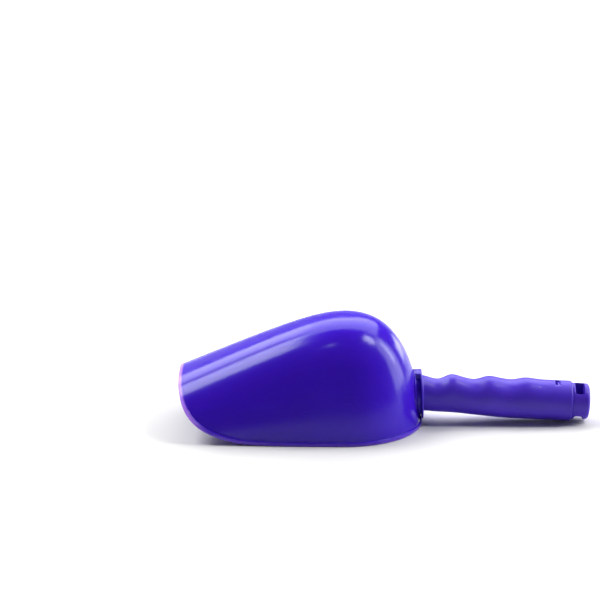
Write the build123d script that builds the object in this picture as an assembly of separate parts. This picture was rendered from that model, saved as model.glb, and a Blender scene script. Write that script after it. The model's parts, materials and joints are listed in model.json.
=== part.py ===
from build123d import *
from math import cos, pi, radians, sin, sqrt
import os

# A feed scoop, put down on its rim: the bowl opens downwards, the pouring lip points to -X
# and the handle to +X. Z = 0 is the rim plane, and X = 0 is the middle of its length.

# Bowl: a trough that runs into a round back. Every upright section across it is one arch,
# y = w cos(t)^(2 / n), z = h sin(t)^(2 / m), and only its half width w and height h change.
DOME_X = -23.5
DOME_RADIUS = 45.9
BOWL_HEIGHT = 67.3
ARCH_N = 2.7
ARCH_M = 1.83
ARCH_POINTS = 14
LIP_REACH = 101.0
LIP_HALF_WIDTH = 40.5
RIDGE_SLOPE = 0.45
RIDGE_BEND = 25.2
WALL = 2.2
TROUGH_OVERRUN = 8.0
TROUGH_SECTIONS = 7
SKIRT = 6.0

# The lip's side profile is one cubic curve, from the top of the mouth down to the rim.
LIP_TOP_Z = 38.0
LIP_UPPER_PULL = 28.0
LIP_LOWER_PULL = 38.0
LIP_LANDING_REACH = 42.0
LIP_LANDING_DIP = 0.4
LIP_POINTS = 17

# Rim bead, a low band proud of the wall.
BEAD_PROUD = 1.1
BEAD_HEIGHT = 2.6
BEAD_TOP = 18.0

# Collar between bowl and handle, drawn about its own axis, which rises a little to the rear.
COLLAR_X = DOME_X + DOME_RADIUS
COLLAR_Z = 17.0
COLLAR_LEAN = 2.5
FLANGE_RADIUS = 15.2
FLANGE_EDGE = 0.45
BOWL_FLANGE_FACE = -3.0
BOWL_FLANGE_ROOT = -6.0
BOSS_RADIUS = 12.3
GRIP_FLANGE = 2.0
KEY_HALF_WIDTH = 5.0
KEY_DEPTH = 1.0
KEY_SLACK = 0.1

# Spigot, screw and washer that hold the grip on the bowl.
SPIGOT_RADIUS = 6.0
SPIGOT_LENGTH = 15.0
SPIGOT_ROOT = 0.5
SOCKET_SLACK = 0.1
SOCKET_DEPTH = SPIGOT_LENGTH + 0.5
WEB = 3.0
SCREW_RADIUS = 2.0
SCREW_HOLE_RADIUS = 2.3
SCREW_TIP = -0.5
PILOT_END = -1.0
SCREW_HEAD_RADIUS = 4.0
SCREW_HEAD_HEIGHT = 2.6
RECESS_WIDTH = 1.0
RECESS_SPAN = 4.4
RECESS_DEPTH = 1.5
WASHER_RADIUS = 5.5
WASHER_THICK = 1.0
SEAT_RADIUS = 6.3
SEAT_DEPTH = 5.0

# Grip, drawn about its own axis, which falls towards the hanging end.
GRIP_FALL = 2.8
GRIP_LENGTH = 91.5
GRIP_START = 1.0
GRIP_RADIUS = 12.25
NECK_RADIUS = 10.4
NECK_END = 14.0
NECK_BLEND = 42.0
CREST_RADIUS = 13.0
FINGER_PITCH = 22.6
FIRST_VALLEY = 9.3
VALLEYS = 4
VALLEY_DEPTH = 3.6
VALLEY_LOSS = 0.036
VALLEY_SKEW = 0.5
VALLEY_WRAP = 1.5
GRIP_SECTIONS = 37
GRIP_POINTS = 20
GRIP_EDGE = 1.2
CAVITY_START = 20.5
CAVITY_RADIUS = 7.4
CAVITY_END_RADIUS = 9.2

# End plug: its spigot slides in the grip's bore, and a sprung tongue latches in the window.
BORE_RADIUS = 9.7
BORE_DEPTH = 19.0
PLUG_RADIUS = 11.0
PLUG_LENGTH = 10.7
PLUG_EDGE = 2.4
PLUG_SLACK = 0.05
PLUG_SPIGOT = 17.0
PLUG_HOLLOW_RADIUS = 7.6
PLUG_FLOOR = 2.0
SLOT_START = 1.7
SLOT_LENGTH = 5.7
SLOT_WIDTH = 11.4
SLOT_SIDE = -2.5
SLOT_CORNER = 1.2
WINDOW_MIDDLE = 82.5
WINDOW_LENGTH = 3.0
WINDOW_WIDTH = 9.2
TONGUE_WIDTH = 7.8
TONGUE_GAP = 0.5
TONGUE_LENGTH = 12.0
TONGUE_THICK = 1.6
BARB_LENGTH = 1.3
BARB_WIDTH = 6.4
BARB_RADIUS = 11.0
BARB_GAP = 0.1

# Where the plain blocks and cylinders have their origin.
ON_FLOOR = (Align.CENTER, Align.CENTER, Align.MIN)
UNDER_FLOOR = (Align.CENTER, Align.CENTER, Align.MAX)
FROM_START = (Align.MIN, Align.CENTER, Align.MIN)


def half_width(x):
    """Half width of the wall, x measured from the centre of the round back."""
    return DOME_RADIUS - (DOME_RADIUS - LIP_HALF_WIDTH) * (x / LIP_REACH) ** 2


def ridge_height(x):
    """Height of the ridge, level at the round back and falling towards the lip."""
    return BOWL_HEIGHT - RIDGE_SLOPE * (sqrt(x * x + RIDGE_BEND**2) - RIDGE_BEND)


def arch(width, height, t):
    """The arch's half-width and height at angle t, from the rim (0) to the ridge (pi / 2)."""
    return width * cos(t) ** (2 / ARCH_N), height * sin(t) ** (2 / ARCH_M)


def half_arch(x, offset, side):
    """Half of the arch across the bowl at x, from the rim on one side (-1 or 1) to the ridge."""
    width, height = half_width(x) + offset, ridge_height(x) + offset
    steps = [pi / 2 * i / (ARCH_POINTS - 1) for i in range(ARCH_POINTS - 1)]
    points = [(x, side * arch(width, height, t)[0], arch(width, height, t)[1]) for t in steps]
    return Spline(*points, (x, 0, height), tangents=[(0, 0, 1), (0, -side, 0)]).edge()


def closed_below(curves, offset):
    """A face under the curves, carried straight down to below the rim plane."""
    start = curves[0] @ 0
    end = curves[0] @ 1 if len(curves) == 1 else curves[-1] @ 0
    depth = -SKIRT - offset
    under = Polyline(end, (end.X, end.Y, depth), (start.X, start.Y, depth), start)
    return make_face([*curves, *under.edges()])


def arch_face(x, offset):
    """One upright section of the bowl, grown by offset and carried below the rim plane."""
    return closed_below([half_arch(x, offset, -1), half_arch(x, offset, 1)], offset)


def trough(offset):
    """The bowl's front as a closed solid, its skin moved outwards by offset."""
    reach = LIP_REACH + TROUGH_OVERRUN
    last = TROUGH_SECTIONS - 1
    sections = [arch_face(-reach * (1 - i / last), offset) for i in range(TROUGH_SECTIONS)]
    return Pos(DOME_X, 0, 0) * loft(sections)


def dome(offset):
    """The bowl's round back: the near half of the last arch, turned half round."""
    half = closed_below([half_arch(0, offset, -1)], offset)
    return Pos(DOME_X, 0, 0) * revolve(half, Axis.Z, 180)


def lip_point(t):
    """A point on the lip's side profile, from the mouth's top (0) to the rim (1)."""
    weights = [(1 - t) ** 3, 3 * t * (1 - t) ** 2, 3 * t * t * (1 - t), t**3]
    xs = [-LIP_REACH, -LIP_REACH, -LIP_LANDING_REACH - LIP_LOWER_PULL, -LIP_LANDING_REACH]
    zs = [LIP_TOP_Z, LIP_TOP_Z - LIP_UPPER_PULL, -LIP_LANDING_DIP / 2, -LIP_LANDING_DIP]
    return DOME_X + sum(w * x for w, x in zip(weights, xs)), sum(w * z for w, z in zip(weights, zs))


def lip_curve(inset):
    """The lip's side profile as a curve in the middle plane, moved inwards by inset."""
    points = []
    for i in range(LIP_POINTS):
        t = i / (LIP_POINTS - 1)
        x, z = lip_point(t)
        ahead, above = lip_point(t + 0.001)
        behind, below = lip_point(t - 0.001)
        run = sqrt((ahead - behind) ** 2 + (above - below) ** 2)
        points.append((x - inset * (above - below) / run, 0, z + inset * (ahead - behind) / run))
    return Spline(*points).edge()


def beside_lip(lip, corners):
    """A block across the bowl, bounded by the lip's profile and by corners in the middle plane."""
    start, end = lip @ 0, lip @ 1
    outline = [start, (start.X, 0, 2 * BOWL_HEIGHT), *corners, end]
    region = make_face([lip, *Polyline(*outline).edges()])
    return extrude(region, amount=2 * DOME_RADIUS, dir=(0, 1, 0), both=True)


def ahead_of_lip():
    """What the mouth leaves open: everything in front of the lip's profile."""
    lip = lip_curve(0)
    ahead, below = -2 * LIP_REACH, -3 * SKIRT
    return beside_lip(lip, [(ahead, 0, 2 * BOWL_HEIGHT), (ahead, 0, below), ((lip @ 1).X, 0, below)])


def behind_lip(inset):
    """Everything behind the lip's profile, at least inset away from it."""
    lip = lip_curve(inset)
    back = 2 * LIP_REACH
    return beside_lip(lip, [(back, 0, 2 * BOWL_HEIGHT), (back, 0, (lip @ 1).Z)])


def along(origin_x, angle, start, length, radius, end_radius=None):
    """A cylinder or cone along a tilted fore-and-aft axis, by its distance along the axis."""
    if end_radius is None:
        shape = Cylinder(radius, length, align=ON_FLOOR)
    else:
        shape = Cone(radius, end_radius, length, align=ON_FLOOR)
    return Pos(origin_x, 0, COLLAR_Z) * Rot(0, 90 + angle, 0) * Pos(0, 0, start) * shape


def on_collar(start, length, radius, end_radius=None):
    return along(COLLAR_X, -COLLAR_LEAN, start, length, radius, end_radius)


def on_grip(start, length, radius, end_radius=None):
    return along(COLLAR_X, GRIP_FALL, start, length, radius, end_radius)


def grip_block(start, length, width, low, high):
    """A block on the grip's axis: along it from start, and upright from low to high."""
    block = Box(length, width, high - low, align=FROM_START)
    return Pos(COLLAR_X, 0, COLLAR_Z) * Rot(0, GRIP_FALL, 0) * Pos(start, 0, low) * block


def collar_block(start, length, width, low, high):
    block = Box(length, width, high - low, align=FROM_START)
    return Pos(COLLAR_X, 0, COLLAR_Z) * Rot(0, -COLLAR_LEAN, 0) * Pos(start, 0, low) * block


def key(slack):
    """The key at the top of the collar that stops the grip turning on the bowl."""
    start = BOWL_FLANGE_FACE - KEY_DEPTH
    ring = on_collar(start, -start, FLANGE_RADIUS) - on_collar(start, -start, BOSS_RADIUS)
    width = 2 * (KEY_HALF_WIDTH + slack)
    return ring & collar_block(start, -start, width, 0, 2 * FLANGE_RADIUS)


def make_bowl():
    mouth = ahead_of_lip()
    inside = behind_lip(BEAD_HEIGHT)
    above = Pos(0, 0, BEAD_TOP) * Box(4 * LIP_REACH, 4 * LIP_REACH, BOWL_HEIGHT, align=ON_FLOOR)
    bead = trough(BEAD_PROUD) - mouth - inside - above
    front = (trough(0) - mouth) + bead - trough(-WALL)
    back = dome(0) + (dome(BEAD_PROUD) - inside)
    back -= on_collar(0, SPIGOT_LENGTH, FLANGE_RADIUS + 2 * KEY_SLACK)
    back += on_collar(BOWL_FLANGE_ROOT, BOWL_FLANGE_FACE - BOWL_FLANGE_ROOT, FLANGE_RADIUS)
    back -= dome(-WALL)
    back -= key(KEY_SLACK)
    boss = on_collar(BOWL_FLANGE_ROOT, -BOWL_FLANGE_ROOT, BOSS_RADIUS) - dome(-WALL)
    back += boss + on_collar(-SPIGOT_ROOT, SPIGOT_LENGTH + SPIGOT_ROOT, SPIGOT_RADIUS)
    back -= on_collar(PILOT_END, SPIGOT_LENGTH - PILOT_END, SCREW_RADIUS)
    below = Box(4 * LIP_REACH, 4 * LIP_REACH, 4 * SKIRT, align=UNDER_FLOOR)
    return (front - below) + (back - below)


def ease(value, start, length):
    """0 before start, 1 after start + length, and smooth between."""
    t = min(1, max(0, (value - start) / length))
    return t * t * (3 - 2 * t)


def crest_line(s):
    """Radius of the grip over the fingers, at distance s along its axis."""
    last_valley = FIRST_VALLEY + (VALLEYS - 1) * FINGER_PITCH
    s = min(s, last_valley)
    phase = 2 * pi * (s - FIRST_VALLEY) / FINGER_PITCH
    phase += VALLEY_SKEW * (1 - cos(phase)) / 2
    return CREST_RADIUS - (VALLEY_DEPTH - VALLEY_LOSS * s) * (1 + cos(phase)) / 2


def grip_section(s):
    """One section of the grip, square to its axis."""
    low = NECK_RADIUS + (GRIP_RADIUS - NECK_RADIUS) * ease(s, NECK_END, NECK_BLEND)
    rise = crest_line(s) - low
    points = []
    for i in range(GRIP_POINTS):
        a = 2 * pi * i / GRIP_POINTS
        r = low + rise * max(0, cos(a)) ** VALLEY_WRAP
        points.append((s, r * sin(a), r * cos(a)))
    return make_face(Spline(*points, periodic=True).edge())


def make_grip():
    step = (GRIP_LENGTH - GRIP_START) / (GRIP_SECTIONS - 1)
    sections = [grip_section(GRIP_START + step * i) for i in range(GRIP_SECTIONS)]
    grip = Pos(COLLAR_X, 0, COLLAR_Z) * Rot(0, GRIP_FALL, 0) * loft(sections)
    end = grip.faces().sort_by(Axis.X)[-1]
    grip = fillet(end.edges(), GRIP_EDGE)
    flange = on_collar(0, GRIP_FLANGE, FLANGE_RADIUS)
    grip = grip + fillet(flange.edges(), FLANGE_EDGE) + key(0)
    grip -= on_collar(-1, SOCKET_DEPTH + 1, SPIGOT_RADIUS + SOCKET_SLACK)
    grip -= on_collar(SOCKET_DEPTH, WEB, SCREW_HOLE_RADIUS)
    grip -= on_collar(SOCKET_DEPTH + WEB, SEAT_DEPTH, SEAT_RADIUS)
    cavity = GRIP_LENGTH - BORE_DEPTH - CAVITY_START
    grip -= on_grip(CAVITY_START, cavity, CAVITY_RADIUS, CAVITY_END_RADIUS)
    grip -= on_grip(GRIP_LENGTH - BORE_DEPTH, BORE_DEPTH + 1, BORE_RADIUS)
    start = WINDOW_MIDDLE - WINDOW_LENGTH / 2
    return grip - grip_block(start, WINDOW_LENGTH, WINDOW_WIDTH, 0, 2 * GRIP_RADIUS)


def tongue_space(width, start, length):
    return grip_block(start, length, width, PLUG_HOLLOW_RADIUS / 2, 2 * GRIP_RADIUS)


def make_end_plug():
    cap = on_grip(GRIP_LENGTH, PLUG_LENGTH, PLUG_RADIUS)
    end = cap.faces().sort_by(Axis.X)[-1]
    cap = fillet(end.edges(), PLUG_EDGE)
    spigot_start = GRIP_LENGTH - PLUG_SPIGOT
    spigot = on_grip(spigot_start, PLUG_SPIGOT, BORE_RADIUS - PLUG_SLACK)
    spigot -= on_grip(spigot_start - 1, PLUG_SPIGOT + 1 - PLUG_FLOOR, PLUG_HOLLOW_RADIUS)
    root = spigot_start + 1.0 + TONGUE_LENGTH
    spigot -= tongue_space(TONGUE_WIDTH + 2 * TONGUE_GAP, spigot_start - 1, root - spigot_start + 1)
    slot = Rectangle(SLOT_LENGTH, SLOT_WIDTH)
    slot = fillet(slot.vertices(), SLOT_CORNER)
    slot = extrude(Pos(SLOT_LENGTH / 2, SLOT_SIDE, 0) * slot, amount=2 * PLUG_RADIUS, both=True)
    slot = Pos(COLLAR_X, 0, COLLAR_Z) * Rot(0, GRIP_FALL, 0) * Pos(GRIP_LENGTH + SLOT_START, 0, 0) * slot
    return cap + spigot - slot


def make_latch_tongue():
    start = GRIP_LENGTH - PLUG_SPIGOT + 1.0
    outer = BORE_RADIUS - PLUG_SLACK
    tongue = on_grip(start, TONGUE_LENGTH, outer) - on_grip(start, TONGUE_LENGTH, outer - TONGUE_THICK)
    tongue &= tongue_space(TONGUE_WIDTH, start, TONGUE_LENGTH)
    barb_start = WINDOW_MIDDLE + WINDOW_LENGTH / 2 - BARB_GAP - BARB_LENGTH
    barb = on_grip(barb_start, BARB_LENGTH, BARB_RADIUS)
    barb -= on_grip(barb_start, BARB_LENGTH, outer - TONGUE_THICK)
    return tongue + (barb & tongue_space(BARB_WIDTH, barb_start, BARB_LENGTH))


def make_washer():
    seat = SOCKET_DEPTH + WEB
    washer = on_collar(seat, WASHER_THICK, WASHER_RADIUS)
    return washer - on_collar(seat, WASHER_THICK, SCREW_HOLE_RADIUS)


def make_screw():
    seat = SOCKET_DEPTH + WEB + WASHER_THICK
    head = on_collar(seat, SCREW_HEAD_HEIGHT, SCREW_HEAD_RADIUS)
    crown = head.faces().sort_by(Axis.X)[-1]
    head = fillet(crown.edges(), SCREW_HEAD_HEIGHT / 2)
    recess_start = seat + SCREW_HEAD_HEIGHT - RECESS_DEPTH
    for width, height in [(RECESS_WIDTH, RECESS_SPAN), (RECESS_SPAN, RECESS_WIDTH)]:
        head -= collar_block(recess_start, RECESS_DEPTH, width, -height / 2, height / 2)
    return head + on_collar(SCREW_TIP, seat - SCREW_TIP, SCREW_RADIUS)


os.makedirs("parts", exist_ok=True)
PIECES = {
    "bowl": make_bowl,
    "grip": make_grip,
    "end_plug": make_end_plug,
    "latch_tongue": make_latch_tongue,
    "fixing_screw": make_screw,
    "screw_washer": make_washer,
}
for name, make in PIECES.items():
    piece = make()
    piece.label = name
    export_step(piece, f"parts/{name}.step")
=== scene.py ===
import json
from math import asin, cos, pi, radians, sin, sqrt

import bmesh
import bpy
from mathutils import Matrix, Vector


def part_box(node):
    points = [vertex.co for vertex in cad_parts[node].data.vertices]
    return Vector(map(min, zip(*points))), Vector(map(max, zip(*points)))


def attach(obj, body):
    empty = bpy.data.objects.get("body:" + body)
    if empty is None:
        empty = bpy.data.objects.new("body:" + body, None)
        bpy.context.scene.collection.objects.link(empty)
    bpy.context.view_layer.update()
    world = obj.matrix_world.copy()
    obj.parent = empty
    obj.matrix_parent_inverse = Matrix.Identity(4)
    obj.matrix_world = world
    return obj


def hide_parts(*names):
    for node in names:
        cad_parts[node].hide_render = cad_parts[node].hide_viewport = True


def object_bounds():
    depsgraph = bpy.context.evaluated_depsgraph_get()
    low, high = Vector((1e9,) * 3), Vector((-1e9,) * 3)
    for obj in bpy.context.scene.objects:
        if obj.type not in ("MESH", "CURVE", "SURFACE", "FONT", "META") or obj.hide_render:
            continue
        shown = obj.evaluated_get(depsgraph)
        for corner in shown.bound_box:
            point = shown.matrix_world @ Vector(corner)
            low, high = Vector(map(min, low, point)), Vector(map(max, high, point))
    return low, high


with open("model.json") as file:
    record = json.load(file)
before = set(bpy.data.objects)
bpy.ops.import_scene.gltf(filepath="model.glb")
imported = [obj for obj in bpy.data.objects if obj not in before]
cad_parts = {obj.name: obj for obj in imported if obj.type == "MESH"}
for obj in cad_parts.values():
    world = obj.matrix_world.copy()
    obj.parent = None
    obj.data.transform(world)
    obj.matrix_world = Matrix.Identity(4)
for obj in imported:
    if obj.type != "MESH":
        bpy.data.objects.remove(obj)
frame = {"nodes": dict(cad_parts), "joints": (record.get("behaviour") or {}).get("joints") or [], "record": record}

# A feed scoop, put down on its rim: a translucent moulded bowl, a finger grip pushed on behind it
# and a plug with a hanging slot in the grip's end. Metres, +Z up, the pouring lip points to -X.

bl_info = {
    "name": "Feed scoop",
    "version": (1, 0, 0),
    "blender": (4, 5, 0),
    "location": "View3D > Sidebar > Feed scoop",
    "description": "Builds the visible pieces of a moulded feed scoop round its packed frame",
    "category": "Object",
}

MM = 0.001
WELD = 2e-7
SHARP_ANGLE = radians(38)
SCOOP = "scoop"
PLUG = "plug"

CAD_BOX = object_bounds()
BOWL_LOW, BOWL_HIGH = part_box("bowl")
MOUNTS = {mount["name"]: mount for mount in frame["record"]["mounts"]}
SLIDE_AXIS = Vector(frame["joints"][0]["axis"])
DOME_X = MOUNTS["rim_rest"]["pos_m"][0]

BEAD_PROUD = 1.1 * MM
DOME_RADIUS = (BOWL_HIGH.y - BOWL_LOW.y) / 2 - BEAD_PROUD
COLLAR_HEIGHT = 17.0 * MM
COLLAR_LEAN = radians(2.5)
GRIP_FALL = asin(-SLIDE_AXIS.z)


def length(name, default, description):
    return bpy.props.FloatProperty(
        name=name, default=default, description=description, subtype="DISTANCE", unit="LENGTH",
        min=0.0, precision=4,
    )


def share(name, default, description):
    return bpy.props.FloatProperty(
        name=name, default=default, description=description, subtype="FACTOR", min=0.0, max=1.0,
    )


def number(name, default, description):
    return bpy.props.FloatProperty(name=name, default=default, description=description, min=0.0)


def colour(name, default, description):
    return bpy.props.FloatVectorProperty(
        name=name, default=default, description=description, subtype="COLOR", size=3,
        min=0.0, max=1.0,
    )


class ScoopBowlSettings(bpy.types.PropertyGroup):
    """Sizes of the bowl, taken from the frame where the frame holds them."""
    radius: length("Round back", DOME_RADIUS, "Radius of the bowl's round back")
    height: length("Height", BOWL_HIGH.z, "Height of the ridge over the round back")
    reach: length("Reach", 101 * MM, "From the centre of the round back to the lip")
    lip_half_width: length("Half width at lip", 40.5 * MM, "Half the width across the mouth")
    lip_top: length("Lip top", 38 * MM, "Where the lip's side profile starts, above the rim")
    lip_upper_pull: length("Lip upper pull", 28 * MM, "How far the profile runs on downwards")
    lip_lower_pull: length("Lip lower pull", 38 * MM, "How far the profile lies along the rim")
    lip_landing: length("Lip landing", 42 * MM, "Where the lip's profile meets the rim")
    wall: length("Wall", 2.2 * MM, "Thickness of the moulded wall")
    edge_radius: length("Edge radius", 0.5 * MM, "Rounding of the wall's free edge")
    bead_proud: length("Bead proud", BEAD_PROUD, "How far the rim bead stands out of the wall")
    bead_height: length("Bead height", 2.3 * MM, "Height of the rim bead")
    bead_full: length("Bead full below", 9 * MM, "The bead stands out fully below this height")
    bead_gone: length("Bead gone above", 24 * MM, "The bead has faded into the lip at this height")


class ScoopGripSettings(bpy.types.PropertyGroup):
    """Sizes of the collar and the finger grip."""
    flange_radius: length("Flange radius", 15.2 * MM, "Radius of both rings of the collar")
    flange_edge: length("Flange edge", 0.5 * MM, "Rounding of the rings' rims")
    boss_radius: length("Boss radius", 12.3 * MM, "Radius of the step between the rings")
    spigot_radius: length("Spigot radius", 6 * MM, "Radius of the bowl's spigot")
    grip_length: length("Grip length", 91.5 * MM, "From the collar to the grip's open end")
    grip_radius: length("Grip radius", 12.25 * MM, "Radius of the grip at its open end")
    neck_radius: length("Neck radius", 10.4 * MM, "Radius of the grip behind the collar")
    crest_radius: length("Crest radius", 13.0 * MM, "Height of the crests between the fingers")
    finger_pitch: length("Finger pitch", 22.6 * MM, "Distance from one finger groove to the next")
    first_groove: length("First groove", 9.3 * MM, "From the collar to the first groove's middle")
    groove_depth: length("Groove depth", 3.6 * MM, "Depth of the first groove")
    bore_radius: length("Bore radius", 9.7 * MM, "Radius of the bore that takes the plug")
    window_middle: length("Window place", 82.5 * MM, "From the collar to the latch window")
    window_length: length("Window length", 3 * MM, "Size of the latch window along the grip")
    window_width: length("Window width", 9.2 * MM, "Size of the latch window across the grip")


class ScoopPlugSettings(bpy.types.PropertyGroup):
    """Sizes of the end plug."""
    radius: length("Plug radius", 11 * MM, "Radius of the plug's cap")
    cap_length: length("Cap length", 10.7 * MM, "Length of the cap that stands out of the grip")
    cap_edge: length("Cap edge", 2.4 * MM, "Rounding of the cap's end")
    slot_start: length("Slot start", 1.7 * MM, "From the grip's end to the hanging slot")
    slot_length: length("Slot length", 5.7 * MM, "Size of the hanging slot along the plug")
    slot_width: length("Slot width", 11.4 * MM, "Size of the hanging slot across the plug")
    slot_side: length("Slot offset", 2.5 * MM, "How far the hanging slot sits to one side")
    slot_edge: length("Slot edge", 0.55 * MM, "Rounding round the mouths of the hanging slot")


class ScoopFinishSettings(bpy.types.PropertyGroup):
    """Colours and surfaces of the mouldings and the steel."""
    bowl_colour: colour("Bowl", (0.042, 0.007, 0.50), "Colour of the bowl's glossy plastic")
    # Painted light: the bowl edge and lip colours stand in for light shining through the thin wall at the free
    # edge. The plastic itself is not paler there.
    painted_edge_glow: colour("Bowl edge", (0.26, 0.12, 0.80), "Paler colour of the bowl's thin free edge")
    painted_lip_glow: colour("Bowl lip", (0.42, 0.20, 0.90), "Colour of the lip's lit edge")
    grip_colour: colour("Grip", (0.066, 0.024, 0.52), "Colour of the grip's satin plastic")
    plug_colour: colour("Plug", (0.066, 0.022, 0.50), "Colour of the plug's satin plastic")
    steel_colour: colour("Steel", (0.62, 0.61, 0.58), "Colour of the zinc-plated steel")
    bowl_roughness: share("Bowl roughness", 0.17, "Roughness of the bowl where it is clean")
    grip_roughness: share("Grip roughness", 0.36, "Roughness of the grip where it is clean")
    scuffing: share("Scuffing", 0.35, "How strongly scuffs and rubbed edges show")


class ScoopStageSettings(bpy.types.PropertyGroup):
    """Camera, floor and lights."""
    lens: bpy.props.FloatProperty(
        name="Lens", default=132.0, unit="CAMERA", description="Focal length in millimetres"
    )
    tilt: bpy.props.FloatProperty(
        name="Camera tilt", default=radians(16.88), subtype="ANGLE", unit="ROTATION",
        description="How far the camera looks down",
    )
    distance: length("Camera distance", 1.2629, "From the middle plane of the scoop to the camera")
    camera_height: length("Camera height", 0.4597, "Height of the camera over the floor")
    floor_colour: colour("Floor", (0.66, 0.66, 0.66), "Colour of the floor")
    key_power: number("Main light", 1.35, "Strength of the large lights overhead")
    surround: number("Surround", 0.06, "Brightness of the white surround")


SETTINGS = {
    "feed_scoop_bowl": ScoopBowlSettings,
    "feed_scoop_grip": ScoopGripSettings,
    "feed_scoop_plug": ScoopPlugSettings,
    "feed_scoop_finish": ScoopFinishSettings,
    "feed_scoop_stage": ScoopStageSettings,
}


def tilted(angle):
    """A frame at the collar whose X axis is a fore-and-aft axis, turned down by angle."""
    place = Vector((DOME_X + DOME_RADIUS, 0, COLLAR_HEIGHT))
    return Matrix.Translation(place) @ Matrix.Rotation(angle, 4, "Y")


COLLAR = tilted(-COLLAR_LEAN)
GRIP = tilted(GRIP_FALL)


def ease(value, start, end):
    """0 at start, 1 at end, and smooth between."""
    t = min(1.0, max(0.0, (value - start) / (end - start)))
    return t * t * (3 - 2 * t)


def even_steps(curve, count):
    """Parameters from 0 to 1 that divide the curve into count pieces of one length."""
    fine = 1500
    points = [Vector(curve(i / fine)) for i in range(fine + 1)]
    run = [0.0]
    for before, after in zip(points, points[1:]):
        run.append(run[-1] + (after - before).length)
    steps, place = [0.0], 0
    for i in range(1, count):
        goal = run[-1] * i / count
        while run[place + 1] < goal:
            place += 1
        steps.append((place + (goal - run[place]) / (run[place + 1] - run[place])) / fine)
    return steps + [1.0]


class Skin:
    """Gathers grids of points into one closed mesh."""

    def __init__(self):
        self.mesh = bmesh.new()
        self.edge = self.mesh.verts.layers.float.new("edge")

    def grid(self, rows, wrap_rows=False, wrap_columns=False, skip=(), marks=None):
        """Adds faces between rows of points. marks tells how near each row lies to a free edge."""
        made = [[self.mesh.verts.new(point) for point in row] for row in rows]
        for row, mark in zip(made, marks or ()):
            for vertex in row:
                vertex[self.edge] = mark
        if wrap_columns:
            for row in made:
                row.append(row[0])
        if wrap_rows:
            made.append(made[0])
        for i, (low, high) in enumerate(zip(made, made[1:])):
            for j in range(len(low) - 1):
                if (i, j) not in skip:
                    self.mesh.faces.new((low[j], low[j + 1], high[j + 1], high[j]))

    def lathe(self, axis, profile, columns):
        """Turns (distance along, radius) pairs round the X axis of a frame."""
        angles = [2 * pi * i / columns for i in range(columns)]
        rows = [[axis @ Vector((s, r * sin(a), r * cos(a))) for a in angles] for s, r in profile]
        self.grid(rows, wrap_columns=True)

    def to_mesh(self, name):
        bmesh.ops.remove_doubles(self.mesh, verts=self.mesh.verts, dist=WELD)
        bmesh.ops.recalc_face_normals(self.mesh, faces=self.mesh.faces)
        if self.mesh.calc_volume(signed=True) < 0:
            bmesh.ops.reverse_faces(self.mesh, faces=self.mesh.faces)
        mesh = bpy.data.meshes.new(name)
        self.mesh.to_mesh(mesh)
        self.mesh.free()
        return mesh


def rounded(start, corner, end, radius, steps=4):
    """Points of a profile from near start round the corner to near end."""
    start, corner, end = Vector(start), Vector(corner), Vector(end)
    before = (start - corner).normalized()
    after = (end - corner).normalized()
    reach = radius
    centre = corner + (before + after) * reach
    points = []
    for i in range(steps + 1):
        a = pi / 2 * i / steps
        points.append(tuple(centre - after * reach * cos(a) - before * reach * sin(a)))
    return points


def cut_away(mesh, cutters):
    """The mesh with closed cutter meshes taken out of it."""
    body = bpy.data.objects.new("uncut", mesh)
    bpy.context.scene.collection.objects.link(body)
    tools = []
    for cutter in cutters:
        tool = bpy.data.objects.new("cutter", cutter)
        bpy.context.scene.collection.objects.link(tool)
        cut = body.modifiers.new("cut", "BOOLEAN")
        cut.operation = "DIFFERENCE"
        cut.solver = "EXACT"
        cut.use_self = True
        cut.object = tool
        tools.append(tool)
    depsgraph = bpy.context.evaluated_depsgraph_get()
    result = bpy.data.meshes.new_from_object(body.evaluated_get(depsgraph))
    for spare in [body, *tools]:
        bpy.data.objects.remove(spare)
    return result


def joined(meshes, name):
    """Several closed meshes as one."""
    whole = bmesh.new()
    for mesh in meshes:
        whole.from_mesh(mesh)
    result = bpy.data.meshes.new(name)
    whole.to_mesh(result)
    whole.free()
    return result


def show(name, mesh, material, body, replaced):
    """Puts a finished mesh on its body in place of its plain node."""
    if not mesh.polygons:
        raise RuntimeError(f"{name} came out with no faces")
    mesh.shade_smooth()
    mesh.set_sharp_from_angle(angle=SHARP_ANGLE)
    mesh.materials.clear()
    mesh.materials.append(material)
    piece = bpy.data.objects.new(name, mesh)
    bpy.context.scene.collection.objects.link(piece)
    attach(piece, body)
    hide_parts(replaced)
    return piece


# Materials: node trees in the pieces' own coordinates, in metres.

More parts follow.
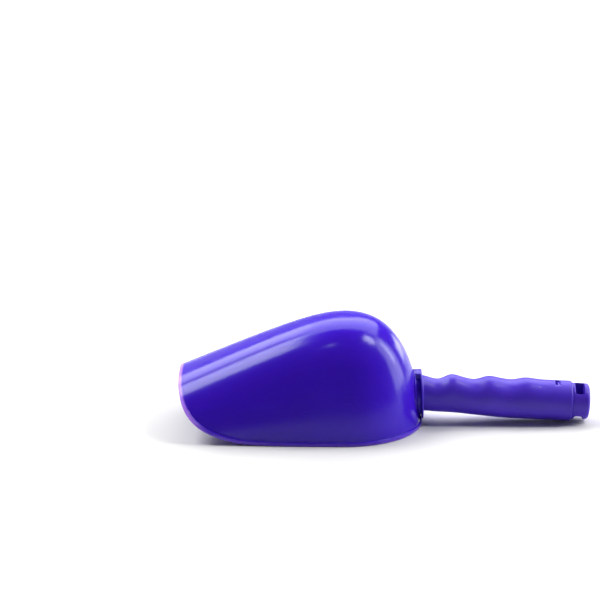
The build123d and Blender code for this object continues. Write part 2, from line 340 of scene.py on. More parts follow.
class Nodes:
    """A short hand for one material's node tree."""

    def __init__(self, name):
        self.material = bpy.data.materials.new(name)
        self.material.use_nodes = True
        self.tree = self.material.node_tree
        self.shader = self.tree.nodes["Principled BSDF"]
        self.place = self.add("ShaderNodeTexCoord").outputs["Object"]

    def add(self, kind, **values):
        node = self.tree.nodes.new(kind)
        for key, value in values.items():
            setattr(node, key, value)
        return node

    def link(self, output, target):
        self.tree.links.new(output, target)

    def set(self, **values):
        for key, value in values.items():
            self.shader.inputs[key.replace("_", " ")].default_value = value

    def stretched(self, scale, turn=(0, 0, 0)):
        node = self.add("ShaderNodeMapping")
        node.inputs["Scale"].default_value = scale
        node.inputs["Rotation"].default_value = turn
        self.link(self.place, node.inputs["Vector"])
        return node.outputs["Vector"]

    def noise(self, scale, detail=4.0, rough=0.55, distortion=0.0, vector=None):
        node = self.add("ShaderNodeTexNoise")
        node.inputs["Scale"].default_value = scale
        node.inputs["Detail"].default_value = detail
        node.inputs["Roughness"].default_value = rough
        node.inputs["Distortion"].default_value = distortion
        self.link(self.place if vector is None else vector, node.inputs["Vector"])
        return node.outputs["Fac"]

    def levels(self, value, low, high, to_low=0.0, to_high=1.0):
        node = self.add("ShaderNodeMapRange", interpolation_type="SMOOTHSTEP")
        self.link(value, node.inputs["Value"])
        for key, amount in zip(("From Min", "From Max", "To Min", "To Max"), (low, high, to_low, to_high)):
            node.inputs[key].default_value = amount
        return node.outputs["Result"]

    def maths(self, operation, first, second):
        node = self.add("ShaderNodeMath", operation=operation)
        for value, socket in zip((first, second), node.inputs):
            if isinstance(value, (int, float)):
                socket.default_value = value
            else:
                self.link(value, socket)
        return node.outputs[0]

    def blend(self, amount, first, second):
        node = self.add("ShaderNodeMix", data_type="RGBA")
        self.link(amount, node.inputs["Factor"])
        for value, socket in ((first, node.inputs[6]), (second, node.inputs[7])):
            if isinstance(value, tuple):
                socket.default_value = (*value, 1.0)
            else:
                self.link(value, socket)
        return node.outputs[2]

    def bumps(self, layers):
        """Chains (height, depth in metres) layers into the shader's normal."""
        normal = None
        for height, depth in layers:
            node = self.add("ShaderNodeBump")
            node.inputs["Strength"].default_value = 1.0
            node.inputs["Distance"].default_value = depth
            self.link(height, node.inputs["Height"])
            if normal is not None:
                self.link(normal, node.inputs["Normal"])
            normal = node.outputs["Normal"]
        self.link(normal, self.shader.inputs["Normal"])


def scaled(shade, factor):
    return tuple(min(1.0, channel * factor) for channel in shade)


def scratches(nodes, turn, density):
    """Hairline scratches along one direction, 0 or 1."""
    hairs = nodes.noise(2600.0, 1.0, 0.4, 0.0, nodes.stretched((0.02, 1.0, 1.0), turn))
    patches = nodes.noise(38.0, 3.0, 0.6)
    thin = nodes.levels(hairs, 0.76 - density, 0.80 - density)
    return nodes.maths("MULTIPLY", thin, nodes.levels(patches, 0.50, 0.64))


def bowl_plastic(finish):
    """Glossy translucent plastic: faint flow lines from the gate, soft waves and hairline scuffs, with painted
    light on the thin free edge and the lip, where paler colours stand in for light shining through the wall.
    """
    nodes = Nodes("bowl_plastic")
    base = tuple(finish.bowl_colour)
    flow = nodes.noise(26.0, 5.0, 0.6, 0.8, nodes.stretched((0.25, 1.0, 1.0)))
    cloud = nodes.noise(11.0, 3.0, 0.5)
    shade = nodes.blend(nodes.levels(flow, 0.3, 0.7), scaled(base, 0.93), scaled(base, 1.05))
    shade = nodes.blend(nodes.levels(cloud, 0.35, 0.75), shade, scaled(base, 1.10))
    hairs = nodes.maths(
        "MAXIMUM",
        scratches(nodes, (0, radians(18), radians(8)), 0.02),
        scratches(nodes, (0, radians(-24), radians(61)), 0.01),
    )
    rubbed = nodes.maths("MULTIPLY", hairs, finish.scuffing)
    shade = nodes.blend(rubbed, shade, scaled(base, 1.9))
    edge = nodes.add("ShaderNodeAttribute", attribute_name="edge").outputs["Fac"]
    ahead = nodes.add("ShaderNodeSeparateXYZ")
    nodes.link(nodes.place, ahead.inputs[0])
    # Painted light: rows near the free edge, and the lip's front edge most of all, are blended to paler colours
    # that stand in for light shining through the thin wall.
    near_lip = nodes.levels(ahead.outputs["X"], BOWL_LOW.x + 8 * MM, BOWL_LOW.x + 20 * MM, 1.0, 0.0)
    rim = nodes.levels(edge, 0.0, 1.0, 0.0, 0.55)
    lip = nodes.maths("MULTIPLY", nodes.levels(edge, 0.0, 0.6), near_lip)
    shade = nodes.blend(rim, shade, tuple(finish.painted_edge_glow))
    shade = nodes.blend(lip, shade, tuple(finish.painted_lip_glow))
    nodes.link(shade, nodes.shader.inputs["Base Color"])
    haze = nodes.levels(nodes.noise(17.0, 5.0, 0.62, 0.4), 0.35, 0.8, 0.0, 0.07)
    rough = nodes.maths("ADD", haze, finish.bowl_roughness)
    rough = nodes.maths("ADD", rough, nodes.maths("MULTIPLY", hairs, 0.5 * finish.scuffing))
    nodes.link(rough, nodes.shader.inputs["Roughness"])
    nodes.bumps([
        (nodes.noise(30.0, 2.0, 0.4), 0.10 * MM),
        (nodes.noise(900.0, 3.0, 0.5), 0.004 * MM),
        (hairs, -0.003 * MM),
    ])
    nodes.set(
        Subsurface_Weight=0.35, Subsurface_Radius=(0.55, 0.30, 2.2), Subsurface_Scale=1.6 * MM,
        Specular_IOR_Level=0.23, IOR=1.49,
    )
    return nodes.material


def satin_plastic(name, base, roughness, finish):
    """Satin plastic with a fine spark-eroded grain, handling marks and paler rubbed scuffs."""
    nodes = Nodes(name)
    cloud = nodes.noise(45.0, 4.0, 0.55)
    shade = nodes.blend(nodes.levels(cloud, 0.3, 0.7), scaled(base, 0.90), scaled(base, 1.08))
    flecks = nodes.levels(nodes.noise(260.0, 2.0, 0.5), 0.70, 0.76)
    patches = nodes.levels(nodes.noise(22.0, 2.0, 0.5), 0.50, 0.66)
    marks = nodes.maths("MULTIPLY", flecks, patches)
    hairs = scratches(nodes, (0, radians(12), radians(35)), 0.02)
    worn = nodes.maths("MULTIPLY", nodes.maths("MAXIMUM", marks, hairs), finish.scuffing)
    shade = nodes.blend(worn, shade, (0.30, 0.26, 0.62))
    nodes.link(shade, nodes.shader.inputs["Base Color"])
    smear = nodes.levels(nodes.noise(30.0, 5.0, 0.65, 0.6), 0.3, 0.75, -0.05, 0.10)
    rough = nodes.maths("ADD", smear, roughness)
    nodes.link(rough, nodes.shader.inputs["Roughness"])
    nodes.bumps([
        (nodes.noise(70.0, 2.0, 0.4), 0.06 * MM),
        (nodes.noise(2600.0, 3.0, 0.6), 0.010 * MM),
        (worn, -0.006 * MM),
    ])
    nodes.set(
        Subsurface_Weight=0.15, Subsurface_Radius=(0.5, 0.3, 1.6), Subsurface_Scale=1.0 * MM,
        Specular_IOR_Level=0.30, IOR=1.49,
    )
    return nodes.material


def zinc_steel(finish):
    """Zinc-plated steel: turned rings, a dull bloom and a few darker specks."""
    nodes = Nodes("zinc_steel")
    base = tuple(finish.steel_colour)
    bloom = nodes.noise(420.0, 5.0, 0.6)
    rings = nodes.noise(2400.0, 2.0, 0.5, 0.0, nodes.stretched((1.0, 0.12, 0.12)))
    shade = nodes.blend(nodes.levels(bloom, 0.3, 0.75), scaled(base, 0.72), scaled(base, 1.05))
    nodes.link(shade, nodes.shader.inputs["Base Color"])
    nodes.link(nodes.levels(bloom, 0.25, 0.8, 0.24, 0.46), nodes.shader.inputs["Roughness"])
    nodes.bumps([(rings, 0.01 * MM), (bloom, 0.008 * MM)])
    nodes.set(Metallic=1.0)
    return nodes.material


def floor_paper(stage):
    """Matt white paper with a barely visible tooth."""
    nodes = Nodes("floor_paper")
    base = tuple(stage.floor_colour)
    tooth = nodes.noise(900.0, 3.0, 0.6)
    sweep = nodes.noise(1.3, 2.0, 0.5)
    shade = nodes.blend(sweep, scaled(base, 0.99), scaled(base, 1.01))
    nodes.link(shade, nodes.shader.inputs["Base Color"])
    nodes.link(nodes.levels(tooth, 0.3, 0.7, 0.72, 0.82), nodes.shader.inputs["Roughness"])
    nodes.bumps([(tooth, 0.02 * MM)])
    nodes.set(Specular_IOR_Level=0.15)
    return nodes.material


# Bowl

class BowlShape:
    """The bowl's wall as formulas. x is measured from the centre of the round back.

    Every upright section is one arch: breadth w cos(t)^(2 / SIDE), height h sin(t)^(2 / CROWN).
    """

    SIDE = 2.7
    CROWN = 1.83
    RIDGE_SLOPE = 0.45
    RIDGE_BEND = 25.2 * MM
    ROWS = 84
    TROUGH_COLUMNS = 64
    BACK_COLUMNS = 56

    def __init__(self, sizes):
        self.sizes = sizes
        self.band = sizes.bead_height + 0.9 * MM
        self.shares = even_steps(lambda q: self.wall_point(0.0, q, 0.0), self.ROWS)

    def half_width(self, x):
        sizes = self.sizes
        return sizes.radius - (sizes.radius - sizes.lip_half_width) * (x / sizes.reach) ** 2

    def ridge_height(self, x):
        return self.sizes.height - self.RIDGE_SLOPE * (sqrt(x * x + self.RIDGE_BEND**2) - self.RIDGE_BEND)

    def breadth(self, x, z, offset):
        """Half the breadth of the wall, grown by offset, at height z."""
        part = min(1.0, max(0.0, z / (self.ridge_height(x) + offset)))
        return (self.half_width(x) + offset) * (1 - part**self.CROWN) ** (1 / self.SIDE)

    def wall_point(self, x, part, offset):
        """(breadth, height) at x, part of the way from the rim band (0) to the ridge (1)."""
        height = self.ridge_height(x) + offset
        start = asin((self.band / height) ** (self.CROWN / 2))
        t = start + (pi / 2 - start) * part
        breadth = (self.half_width(x) + offset) * max(0.0, cos(t)) ** (2 / self.SIDE)
        return (0.0 if part == 1 else breadth), height * sin(t) ** (2 / self.CROWN)

    def lip(self, u, inset):
        """(x, z) on the lip's side profile, from its top (0) to the rim (1), moved inwards."""
        sizes = self.sizes
        xs = [-sizes.reach, -sizes.reach, -sizes.lip_landing - sizes.lip_lower_pull, -sizes.lip_landing]
        zs = [sizes.lip_top, sizes.lip_top - sizes.lip_upper_pull, 0.0, 0.0]
        weights = [(1 - u) ** 3, 3 * u * (1 - u) ** 2, 3 * u * u * (1 - u), u**3]
        slopes = [-3 * (1 - u) ** 2, 3 * (1 - u) * (1 - 3 * u), 3 * u * (2 - 3 * u), 3 * u * u]
        x, z = (sum(w * p for w, p in zip(weights, ps)) for ps in (xs, zs))
        run_x, run_z = (sum(w * p for w, p in zip(slopes, ps)) for ps in (xs, zs))
        run = sqrt(run_x**2 + run_z**2)
        return x - inset * run_z / run, z + inset * run_x / run

    def lip_crossing(self, part, inset, offset):
        """Where on the inset lip profile the wall's line of that part ends."""
        low, high = 0.0, 1.0
        for _ in range(48):
            middle = (low + high) / 2
            x, z = self.lip(middle, inset)
            if self.wall_point(x, part, offset)[1] < z:
                low = middle
            else:
                high = middle
        return high

    def front_start(self, part, offset):
        return self.lip(self.lip_crossing(part, self.band, offset), self.band)[0]

    def sheet(self, offset):
        """Grids of the near half of the wall, trough and back, above the rim band."""
        trough, back = [], []
        for part in self.shares:
            start = self.front_start(part, offset)
            row = []
            for j in range(self.TROUGH_COLUMNS + 1):
                x = start * (1 - j / self.TROUGH_COLUMNS)
                breadth, z = self.wall_point(x, part, offset)
                row.append((x, -breadth, z))
            trough.append(row)
            radius, z = self.wall_point(0.0, part, offset)
            back.append([self.round_back(radius, z, j) for j in range(self.BACK_COLUMNS + 1)])
        return [trough, back]

    def round_back(self, radius, z, j):
        a = pi / 2 * j / self.BACK_COLUMNS
        return radius * sin(a), -radius * cos(a), z

    def lip_point(self, part, inset, offset, proud):
        """A point of the band along the lip, on the wall's own line near the ridge."""
        share_of_line = ease(part, 0.55, 0.9)
        if share_of_line == 1 or inset >= self.band:
            x = self.lip(self.lip_crossing(part, inset, offset), inset)[0]
            breadth, z = self.wall_point(x, part, offset)
            return x, -breadth, z
        across = self.lip_crossing(part, self.band, 0.0)
        own = self.lip_crossing(part, inset, offset)
        x, z = self.lip(across + (own - across) * share_of_line, inset)
        height = ease(z, self.sizes.bead_gone, self.sizes.bead_full) * proud
        return x, -self.breadth(x, z, offset + height), z

    def band_row(self, inset, offset, proud):
        """One line round the whole rim band: lip, trough and round back."""
        half = [self.lip_point(part, inset, offset, proud) for part in reversed(self.shares)]
        offset = offset + proud
        for j in range(1, self.TROUGH_COLUMNS + 1):
            x = -self.sizes.lip_landing * (1 - j / self.TROUGH_COLUMNS)
            half.append((x, -self.breadth(x, inset, offset), inset))
        radius = self.breadth(0.0, inset, offset)
        half += [self.round_back(radius, inset, j) for j in range(1, self.BACK_COLUMNS + 1)]
        return half + mirrored([half[1:-1]])[0][::-1]

    def band_profile(self):
        """(inset from the edge, offset from the skin, bead) across the rim band, outside first."""
        sizes = self.sizes
        step = 0.5 * MM
        rows = [(self.band, 0.0, 0.0)]
        for i in range(1, 7):
            share_up = i / 6
            rows.append((sizes.bead_height + step * (0.5 - share_up), 0.0, ease(share_up, 0, 1)))
        rows.append((sizes.bead_height / 2, 0.0, 1.0))
        radius = sizes.edge_radius
        for i in range(5):
            a = pi / 2 * i / 4
            rows.append((radius * (1 - sin(a)), radius * (cos(a) - 1), 1.0))
        middle = -sizes.wall / 2
        rows.append((0.0, middle, 0.5))
        for i in range(5):
            a = pi / 2 * i / 4
            rows.append((radius * (1 - cos(a)), radius * (1 - sin(a)) - sizes.wall, 0.0))
        rows.append((sizes.bead_height / 2, -sizes.wall, 0.0))
        rows.append((self.band, -sizes.wall, 0.0))
        return [(inset, offset, bead * sizes.bead_proud) for inset, offset, bead in rows]


def mirrored(rows):
    return [[(x, -y, z) for x, y, z in row] for row in rows]


def bowl_wall(sizes):
    shape = BowlShape(sizes)
    skin = Skin()
    for offset in (0.0, -sizes.wall):
        for rows in shape.sheet(offset):
            skin.grid(rows)
            skin.grid(mirrored(rows))
    profile = shape.band_profile()
    marks = [1 - ease(inset, 0.0, shape.band) for inset, _, _ in profile]
    skin.grid([shape.band_row(*row) for row in profile], wrap_columns=True, marks=marks)
    to_collar = COLLAR.inverted()
    clearance = 0.05 * MM
    for vertex in skin.mesh.verts:
        vertex.co.x += DOME_X
        local = to_collar @ vertex.co
        if local.x > -clearance and Vector(local.yz).length < 16 * MM:
            vertex.co = COLLAR @ Vector((-clearance, local.y, local.z))
    return skin.to_mesh("bowl_wall"), shape


def bowl_collar(sizes, grip, shape):
    """The ring, boss and spigot behind the bowl, let into its wall."""
    edge, slack = grip.flange_edge, 0.1 * MM
    face, root, hub, hub_rise = -3 * MM, -6 * MM, 6 * MM, 2.5 * MM
    spigot_end, pilot_radius, pilot_end = 15 * MM, 2 * MM, -1 * MM
    ring, boss, spigot = grip.flange_radius, grip.boss_radius, grip.spigot_radius
    profile = [(-hub_rise, 0.0), (root + 2.4 * MM, hub), (root, ring - edge), (root + edge, ring)]
    profile += [(face - edge - 1.2 * MM, ring)]
    profile += rounded((root, ring), (face, ring), (face, boss), edge)
    profile += [(face, boss + edge), (face + edge / 3, boss + edge / 3), (face + edge, boss)]
    profile += rounded((face, boss), (0, boss), (0, spigot), edge / 2)
    profile += [(0.0, spigot), (spigot_end / 2, spigot)]
    profile += rounded((0, spigot), (spigot_end, spigot), (spigot_end, 0), edge)
    profile += [(spigot_end, pilot_radius), (pilot_end, pilot_radius), (pilot_end, 0.0)]
    skin = Skin()
    skin.lathe(COLLAR, profile, 144)
    middle = Vector((DOME_X, 0, 0))
    for vertex in skin.mesh.verts:
        out = vertex.co - middle
        flat = Vector((out.x, out.y, 0))
        wall = shape.breadth(0.0, max(0.0, out.z), -sizes.wall * 0.75)
        if flat.length < wall:
            vertex.co = middle + flat.normalized() * wall + Vector((0, 0, out.z))
    key_slot = key_block(grip, slack, -4 * MM - slack, 1 * MM)
    return cut_away(skin.to_mesh("bowl_collar"), [key_slot])


def key_block(grip, slack, start, end):
    """The key at the top of the collar that stops the grip turning, grown by slack."""
    half = 5 * MM + slack
    inner, outer = grip.boss_radius - slack, grip.flange_radius + 4 * slack
    steps = 12
    across = [half * (2 * i / steps - 1) for i in range(steps + 1)]
    outline = [(y, sqrt(outer**2 - y * y)) for y in across]
    outline += [(y, sqrt(inner**2 - y * y)) for y in reversed(across)]
    block = bmesh.new()
    places = [[COLLAR @ Vector((s, y, z)) for y, z in outline] for s in (start, end)]
    front, back = ([block.verts.new(place) for place in side] for side in places)
    block.faces.new(front)
    block.faces.new(back[::-1])
    for i, (a, b) in enumerate(zip(front, back)):
        block.faces.new((a, b, back[i - 1], front[i - 1]))
    bmesh.ops.recalc_face_normals(block, faces=block.faces)
    if not slack:
        corners = [e for e in block.edges if e.calc_face_angle(0) > radians(50)]
        bmesh.ops.bevel(
            block, geom=corners, offset=0.25 * MM, segments=2, profile=0.5, affect="EDGES"
        )
    mesh = bpy.data.meshes.new("key")
    block.to_mesh(mesh)
    block.free()
    return mesh


# Grip

class GripShape:
    """The grip's outside: a round bar with finger grooves over its top."""

    GROOVES = 4
    GROOVE_LOSS = 0.036
    SKEW = 0.5
    WRAP = 1.5
    NECK_START = 14 * MM
    NECK_END = 56 * MM
    COLUMNS = 120

    def __init__(self, sizes):
        self.sizes = sizes

    def crest_line(self, s):
        sizes = self.sizes
        s = min(s, sizes.first_groove + (self.GROOVES - 1) * sizes.finger_pitch)
        phase = 2 * pi * (s - sizes.first_groove) / sizes.finger_pitch
        phase += self.SKEW * (1 - cos(phase)) / 2
        return sizes.crest_radius - (sizes.groove_depth - self.GROOVE_LOSS * s) * (1 + cos(phase)) / 2

    def radius(self, s, a):
        sizes = self.sizes
        swell = ease(s, self.NECK_START, self.NECK_END)
        low = sizes.neck_radius + (sizes.grip_radius - sizes.neck_radius) * swell
        return low + (self.crest_line(s) - low) * max(0.0, cos(a)) ** self.WRAP

    def angles(self):
        """Angles round the grip, with two columns on the window's sides."""
        side = asin(self.sizes.window_width / 2 / self.sizes.grip_radius)
        inside = 16
        outside = self.COLUMNS - inside
        angles = [-side + 2 * side * i / inside for i in range(inside)]
        return angles + [side + (2 * pi - 2 * side) * i / outside for i in range(outside)], inside


def grip_moulding(grip):
    """Collar ring, grip, bore, seat and socket as one closed surface."""
    shape = GripShape(grip)
    angles, inside = shape.angles()
    edge = grip.flange_edge
    ring_thick = 1.0 * MM
    fillet = 0.9 * MM
    turn_end = 9.0 * MM
    end_edge = 1.2 * MM

    def ring(axis, s, r):
        return [axis @ Vector((s, r * sin(a), r * cos(a))) for a in angles]

    def outside(s, shrink=0.0):
        radii = [shape.radius(s, a) - shrink for a in angles]
        return [GRIP @ Vector((s, r * sin(a), r * cos(a))) for r, a in zip(radii, angles)]

    def turning(s, shrink=0.0):
        """A row that swings from square on the collar to square on the grip."""
        swing = ease(s, ring_thick, turn_end)
        radii = [shape.radius(s, a) - shrink for a in angles]
        pairs = [Vector((s, r * sin(a), r * cos(a))) for r, a in zip(radii, angles)]
        return [(COLLAR @ point).lerp(GRIP @ point, swing) for point in pairs]

    mouth, socket = 0.4 * MM, grip.spigot_radius + 0.1 * MM
    rows = [ring(COLLAR, 0.0, grip.spigot_radius + mouth)]
    front = rounded((0, 0), (0, grip.flange_radius), (ring_thick, grip.flange_radius), edge)
    back = rounded((0, grip.flange_radius), (ring_thick, grip.flange_radius), (ring_thick, 0), edge)
    rows += [ring(COLLAR, s, r) for s, r in front + back]
    for i in range(6):
        a = pi / 2 * i / 5
        rows.append(turning(ring_thick + fillet * (1 - cos(a)), -fillet * (1 - sin(a))))
    first, turn_rows = ring_thick + fillet, 16
    rows += [turning(first + (turn_end - first) * (i + 1) / turn_rows) for i in range(turn_rows)]
    window_start = grip.window_middle - grip.window_length / 2
    window_end = grip.window_middle + grip.window_length / 2
    bevel = 0.25 * MM
    spans = [(turn_end, window_start - bevel, 140), (window_start - bevel, window_start, 1)]
    spans += [(window_start, window_end, 6), (window_end, window_end + bevel, 1)]
    spans += [(window_end + bevel, grip.grip_length - end_edge, 12)]
    skipped = set()
    rim = []
    for start, end, count in spans:
        if start == window_start:
            skipped = {(len(rows) - 1 + i, j) for i in range(count) for j in range(inside)}
            rim = [len(rows) - 1, len(rows) - 1 + count]
        rows += [outside(start + (end - start) * (i + 1) / count) for i in range(count)]
    for i in range(1, 6):
        a = pi / 2 * i / 5
        rows.append(outside(grip.grip_length - end_edge * (1 - sin(a)), end_edge * (1 - cos(a))))
    bore_edge = 0.3 * MM
    rows.append(ring(GRIP, grip.grip_length, grip.bore_radius + bore_edge))
    rows.append(ring(GRIP, grip.grip_length - bore_edge, grip.bore_radius))
    bore_rows = [window_end, *[window_end - grip.window_length * (i + 1) / 6 for i in range(6)]]
    bore_skip_start = len(rows)
    rows += [ring(GRIP, s, grip.bore_radius) for s in bore_rows]
    skipped |= {(bore_skip_start + i, j) for i in range(6) for j in range(inside)}
    bore_rim = [bore_skip_start, bore_skip_start + 6]
    bore_end, cavity_start = 72.5 * MM, 20.5 * MM
    cavity_wide, cavity_narrow = 9.2 * MM, 7.4 * MM
    seat, seat_radius, screw_radius = 18.5 * MM, 6.3 * MM, 2.3 * MM
    web_face = seat - 3 * MM
    rows.append(ring(GRIP, bore_end, grip.bore_radius))
    rows.append(ring(GRIP, bore_end, cavity_wide))
    rows.append(ring(GRIP, cavity_start, cavity_narrow))
    rows.append(ring(COLLAR, cavity_start + 0.6 * MM, seat_radius))
    rows += [ring(COLLAR, s, r) for s, r in [(seat, seat_radius), (seat, screw_radius)]]
    rows += [ring(COLLAR, s, r) for s, r in [(web_face, screw_radius), (web_face, socket), (mouth, socket)]]
    drop = 0.25 * MM
    for i in range(rim[0], rim[1] + 1):
        for j in range(inside + 1):
            if i in rim or j in (0, inside):
                local = GRIP.inverted() @ rows[i][j]
                across = Vector((0, local.y, local.z)).normalized()
                rows[i][j] = GRIP @ (local - across * drop)
    skin = Skin()
    skin.grid(rows, wrap_rows=True, wrap_columns=True, skip=skipped)
    outer_loop = window_loop(rows, rim, inside)
    inner_loop = window_loop(rows, bore_rim[::-1], inside)
    skin.grid([outer_loop, inner_loop], wrap_columns=True)
    return skin.to_mesh("grip_moulding")


def window_loop(rows, ends, inside):
    """The points round the latch window, in one direction, on one skin."""
    step = 1 if ends[1] > ends[0] else -1
    loop = [rows[ends[0]][j] for j in range(inside + 1)]
    loop += [rows[i][inside] for i in range(ends[0] + step, ends[1], step)]
    loop += [rows[ends[1]][j] for j in range(inside, -1, -1)]
    return loop + [rows[i][0] for i in range(ends[1] - step, ends[0], -step)]


# End plug

def plug_moulding(grip, plug):
    """Cap and hollow spigot, with the hanging slot through the cap and room for the tongue."""
    face = grip.grip_length
    start, end = face - 17 * MM, face + plug.cap_length
    spigot, hollow, floor = grip.bore_radius - 0.05 * MM, 7.6 * MM, 2 * MM
    edge, small = plug.cap_edge, 0.35 * MM
    tongue_run, tongue_width = 13 * MM, 8.8 * MM
    rim = rounded((0, plug.radius), (end, plug.radius), (end, 0), edge, 8)
    rows = 12
    profile = [(face, spigot)]
    profile += rounded((face, spigot), (face, plug.radius), (end, plug.radius), small, 3)
    first = face + small
    profile += [(first + (end - edge - first) * i / rows, plug.radius) for i in range(1, rows)]
    profile += rim + [(end, plug.radius * q) for q in (0.6, 0.4, 0.2, 0.0)]
    inner = [(face - floor, 0.0), (face - floor, hollow), (start + small, hollow)]
    inner += [(start, hollow + small), (start, spigot - small), (start + small, spigot)]
    inner += [(start + (face - start) * q, spigot) for q in (0.25, 0.5, 0.75)]
    skin = Skin()
    skin.lathe(GRIP, inner + profile, 144)
    cutters = [slot_cutter(grip, plug), tongue_cutter(start, tongue_run, tongue_width, hollow)]
    return cut_away(skin.to_mesh("plug_moulding"), cutters)


def slot_cutter(grip, plug):
    """A prism through the cap whose mouths flare, so that the slot's edges come out rounded."""
    corner, steps = 1.2 * MM, 6
    middle = grip.grip_length + plug.slot_start + plug.slot_length / 2
    half_length, half_width = plug.slot_length / 2 - corner, plug.slot_width / 2 - corner
    outline = []
    along = 20
    for k, (x, y) in enumerate([(1, 1), (-1, 1), (-1, -1), (1, -1)]):
        for i in range(steps + 1):
            a = pi / 2 * (k + i / steps)
            outline.append((Vector((x * half_length, y * half_width)), Vector((cos(a), sin(a)))))
        if k in (1, 3):
            for i in range(1, along):
                side_y = y * half_width * (1 - 2 * i / along)
                outline.append((Vector((x * half_length, side_y)), Vector((x, 0))))
    flare = plug.slot_edge
    clear = 2 * MM
    levels = [(clear, flare * 1.2)]
    for i in range(6):
        a = pi / 2 * i / 5
        levels.append((-flare * (1 - cos(a)), flare * (1 - sin(a))))
    sides = [(level, 1) for level in levels] + [(level, -1) for level in levels[::-1]]
    rows = []
    for (rise, grow), side in sides:
        row = []
        for centre, normal in outline:
            flat = centre + normal * (corner + grow)
            on_skin = centre + normal * corner
            depth = sqrt(plug.radius**2 - (on_skin.y - plug.slot_side) ** 2)
            height = plug.radius if rise == clear else depth
            height += rise
            row.append(GRIP @ Vector((middle + flat.x, flat.y - plug.slot_side, side * height)))
        rows.append(row)
    return closed_tube(rows, "slot_cutter")


def tongue_cutter(start, run, width, hollow):
    """A block that cuts room for the tongue out of the top of the spigot."""
    low, high, slack = hollow / 2, 12 * MM, 1 * MM
    corners = [(-width / 2, low), (width / 2, low), (width / 2, high), (-width / 2, high)]
    rows = [[GRIP @ Vector((s, y, z)) for y, z in corners] for s in (start - slack, start + run)]
    return closed_tube(rows, "tongue_cutter")


def closed_tube(rows, name):
    """A tube through rings of points, closed by a face at each end."""
    skin = Skin()
    skin.grid(rows, wrap_columns=True)
    skin.mesh.verts.ensure_lookup_table()
    count = len(rows[0])
    skin.mesh.faces.new(skin.mesh.verts[:count])
    skin.mesh.faces.new(skin.mesh.verts[-count:][::-1])
    return skin.to_mesh(name)


# Operators

class ScoopBowlOperator(bpy.types.Operator):
    """Builds the bowl with its rim bead, collar ring and spigot"""
    bl_idname = "feed_scoop.bowl"
    bl_label = "Bowl"

    def execute(self, context):
        sizes, grip = context.scene.feed_scoop_bowl, context.scene.feed_scoop_grip
        wall, shape = bowl_wall(sizes)
        mesh = joined([wall, bowl_collar(sizes, grip, shape)], "scoop_bowl")
        material = bowl_plastic(context.scene.feed_scoop_finish)
        show("scoop_bowl", mesh, material, SCOOP, "bowl")
        return {"FINISHED"}


class ScoopGripOperator(bpy.types.Operator):
    """Builds the finger grip with its collar ring, key, bore and latch window"""
    bl_idname = "feed_scoop.grip"
    bl_label = "Grip"

    def execute(self, context):
        grip, finish = context.scene.feed_scoop_grip, context.scene.feed_scoop_finish
        key = key_block(grip, 0.0, -4 * MM, 0.5 * MM)
        mesh = joined([grip_moulding(grip), key], "finger_grip")
        material = satin_plastic("grip_plastic", tuple(finish.grip_colour), finish.grip_roughness, finish)
        show("finger_grip", mesh, material, SCOOP, "grip")
        return {"FINISHED"}


class ScoopPlugOperator(bpy.types.Operator):
    """Builds the end plug with its hanging slot, and finishes its latch tongue"""
    bl_idname = "feed_scoop.plug"
    bl_label = "End plug and latch tongue"

    def execute(self, context):
        scene = context.scene
        finish = scene.feed_scoop_finish
        mesh = plug_moulding(scene.feed_scoop_grip, scene.feed_scoop_plug)
        material = satin_plastic("plug_plastic", tuple(finish.plug_colour), finish.grip_roughness, finish)
        show("hanging_plug", mesh, material, PLUG, "end_plug")
        dress("latch_tongue", material)
        return {"FINISHED"}


class ScoopFixingOperator(bpy.types.Operator):
    """Gives the fixing screw and its washer their zinc-plated finish"""
    bl_idname = "feed_scoop.fixing"
    bl_label = "Screw and washer"

    def execute(self, context):
        material = zinc_steel(context.scene.feed_scoop_finish)
        for name in ("fixing_screw", "screw_washer"):
            dress(name, material)
        return {"FINISHED"}


def dress(name, material):
    """A node that keeps its own mesh gets a finish."""
    node = frame["nodes"][name]
    node.data.materials.clear()
    node.data.materials.append(material)


class ScoopStageOperator(bpy.types.Operator):
    """Sets up the floor, the lights and the camera"""
    bl_idname = "feed_scoop.stage"
    bl_label = "Stage"

    def execute(self, context):
        stage = context.scene.feed_scoop_stage
        build_floor(stage)
        build_lights(stage)
        build_camera(context.scene, stage)
        return {"FINISHED"}


def build_floor(stage):
    """A round floor that sweeps up far away on all sides."""
    flat, sweep, columns = 2.6, 1.2, 96
    profile = [(0.0, 0.0), (0.4, 0.0), (1.2, 0.0), (flat, 0.0)]
    for i in range(1, 13):
        a = pi / 2 * i / 12
        profile.append((flat + sweep * sin(a), sweep * (1 - cos(a))))
    angles = [2 * pi * i / columns for i in range(columns)]
    skin = Skin()
    skin.grid([[(r * cos(a), r * sin(a), z) for a in angles] for r, z in profile], wrap_columns=True)
    mesh = skin.to_mesh("floor")
    mesh.shade_smooth()
    mesh.materials.append(floor_paper(stage))
    floor = bpy.data.objects.new("floor", mesh)
    bpy.context.scene.collection.objects.link(floor)


# Soft lights: name, place, way that it faces, width, height or depth, radiance.
LIGHTS = [
    ("left_overhead", (-0.93, 0.31, 1.20), (0, 0, -1), 0.78, 0.72, 9.5),
    ("rear_overhead", (0.28, 1.45, 1.20), (0, 0, -1), 1.66, 2.06, 2.8),
    ("rear_left_overhead", (-1.08, 1.66, 1.20), (0, 0, -1), 1.06, 1.50, 4.2),
    ("right_panel", (1.10, 0.22, 0.62), (-1, 0, 0), 0.56, 1.15, 4.0),
    ("right_tube", (1.08, 0.27, 0.62), (-1, 0, 0), 0.06, 0.60, 16.0),
    ("right_overhead", (0.82, 0.05, 1.20), (0, 0, -1), 0.50, 0.30, 14.0),
    ("right_rear_panel", (1.10, 1.35, 0.20), (-1, 0, 0), 0.90, 0.30, 4.5),
    ("front_lamp", (-0.23, -0.42, 1.20), (0, 0, -1), 0.02, 0.02, 150.0),
]


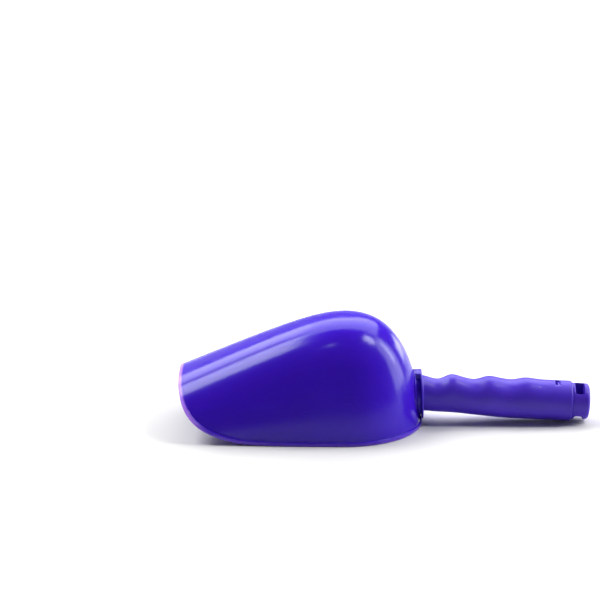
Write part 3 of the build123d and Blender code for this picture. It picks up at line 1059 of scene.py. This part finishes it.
def build_lights(stage):
    scene = bpy.context.scene
    for name, place, facing, width, height, radiance in LIGHTS:
        light = bpy.data.lights.new(name, "AREA")
        light.shape = "RECTANGLE"
        light.size = width
        light.size_y = height
        light.energy = radiance * pi * width * height * stage.key_power
        lamp = bpy.data.objects.new(name, light)
        lamp.location = place
        lamp.rotation_euler = Vector(facing).to_track_quat("-Z", "Y").to_euler()
        lamp.visible_camera = False
        scene.collection.objects.link(lamp)
    world = bpy.data.worlds.new("surround")
    world.use_nodes = True
    background = world.node_tree.nodes["Background"]
    background.inputs["Color"].default_value = (1.0, 1.0, 1.0, 1.0)
    background.inputs["Strength"].default_value = stage.surround
    scene.world = world


def build_camera(scene, stage):
    camera = bpy.data.cameras.new("camera")
    camera.lens = stage.lens
    camera.sensor_width = 36.0
    camera.clip_start = 0.05
    camera.clip_end = 50.0
    holder = bpy.data.objects.new("camera", camera)
    middle = (CAD_BOX[0].x + CAD_BOX[1].x) / 2
    holder.location = (middle - 51.3 * MM, -stage.distance, stage.camera_height)
    holder.rotation_euler = (pi / 2 - stage.tilt, 0, 0)
    scene.collection.objects.link(holder)
    scene.camera = holder
    scene.view_settings.view_transform = "Standard"


class ScoopPanel(bpy.types.Panel):
    """Lists the scoop's sizes, colours and builders"""
    bl_idname = "VIEW3D_PT_feed_scoop"
    bl_label = "Feed scoop"
    bl_space_type = "VIEW_3D"
    bl_region_type = "UI"
    bl_category = "Feed scoop"

    def draw(self, context):
        for name, group in SETTINGS.items():
            box = self.layout.box()
            settings = getattr(context.scene, name)
            for key in group.__annotations__:
                box.prop(settings, key)
        for operator in OPERATORS:
            self.layout.operator(operator.bl_idname)


OPERATORS = [
    ScoopBowlOperator, ScoopGripOperator, ScoopPlugOperator, ScoopFixingOperator, ScoopStageOperator,
]
CLASSES = [*SETTINGS.values(), *OPERATORS, ScoopPanel]


def register():
    for item in CLASSES:
        bpy.utils.register_class(item)
    for name, group in SETTINGS.items():
        setattr(bpy.types.Scene, name, bpy.props.PointerProperty(type=group))


def unregister():
    for name in SETTINGS:
        delattr(bpy.types.Scene, name)
    for item in reversed(CLASSES):
        bpy.utils.unregister_class(item)


def main():
    register()
    bpy.ops.feed_scoop.stage()
    bpy.ops.feed_scoop.bowl()
    bpy.ops.feed_scoop.grip()
    bpy.ops.feed_scoop.plug()
    bpy.ops.feed_scoop.fixing()


if __name__ == "__main__":
    main()
